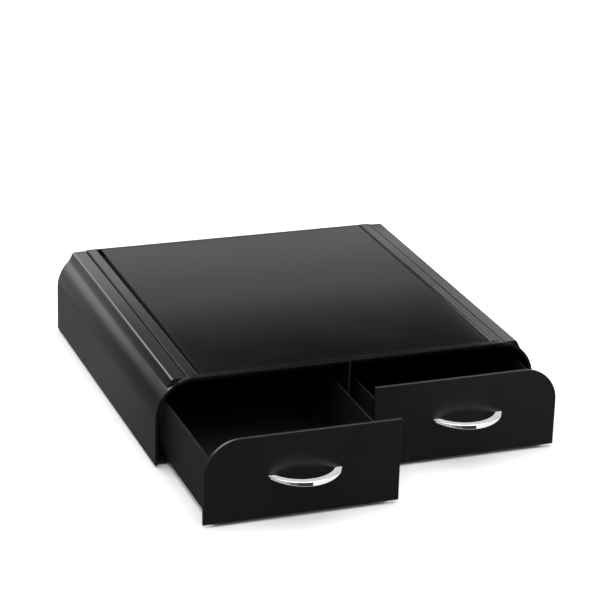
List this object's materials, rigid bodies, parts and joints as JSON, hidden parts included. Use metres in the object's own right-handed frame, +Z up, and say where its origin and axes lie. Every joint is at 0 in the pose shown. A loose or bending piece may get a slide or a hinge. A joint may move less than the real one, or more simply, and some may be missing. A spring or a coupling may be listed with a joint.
{
  "type": "two-drawer coffee pod storage drawer",
  "caption": "Low arched storage unit with two side-by-side pod drawers, bow handles and a flat top platform that carries a coffee machine.",
  "frame": {"origin": "centre of the housing's footprint, on the plane that the rubber feet stand on", "axes": "+Z up, +Y towards the back, so that the drawers pull out towards -Y, +X to the viewer's right"},
  "size_m": [0.41, 0.549, 0.093],
  "materials": {
    "housing_black": "satin black moulded ABS",
    "platform_black": "low-sheen black moulded plastic",
    "inner_black": "low-sheen black moulded plastic",
    "front_black": "satin black moulded ABS with soft reflections",
    "handle_chrome": "bright chrome plate",
    "rubber_black": "matt black rubber",
    "screw_steel": "zinc-plated steel"
  },
  "bodies": {
    "housing": {"outer_shell": "housing_black", "top_platform": "platform_black", "left_top_rail": "housing_black", "right_top_rail": "housing_black", "base_plate": "inner_black", "back_panel": "housing_black", "centre_divider": "inner_black", "left_hold_down": "inner_black", "right_hold_down": "inner_black", "left_drawer_stop": "inner_black", "right_drawer_stop": "inner_black", "left_outer_guide": "inner_black", "left_inner_guide": "inner_black", "right_inner_guide": "inner_black", "right_outer_guide": "inner_black", "rear_bumpers": "rubber_black", "rubber_feet": "rubber_black", "base_screws": "screw_steel", "divider_screws": "screw_steel"},
    "left_drawer": {"left_drawer_bin": "inner_black", "left_drawer_front": "front_black", "left_handle": "handle_chrome", "left_handle_screws": "screw_steel", "left_front_screws": "screw_steel", "left_drawer_glides": "inner_black", "left_drawer_catch": "inner_black"},
    "right_drawer": {"right_drawer_bin": "inner_black", "right_drawer_front": "front_black", "right_handle": "handle_chrome", "right_handle_screws": "screw_steel", "right_front_screws": "screw_steel", "right_drawer_glides": "inner_black", "right_drawer_catch": "inner_black"}
  },
  "joints": [
    {"name": "left_drawer_slide", "type": "slide", "parent": "housing", "child": "left_drawer", "axis": [0, -1, 0], "range_m": [-0.1424, 0.1476]},
    {"name": "right_drawer_slide", "type": "slide", "parent": "housing", "child": "right_drawer", "axis": [0, -1, 0], "range_m": [-0.0657, 0.2243]}
  ]
}
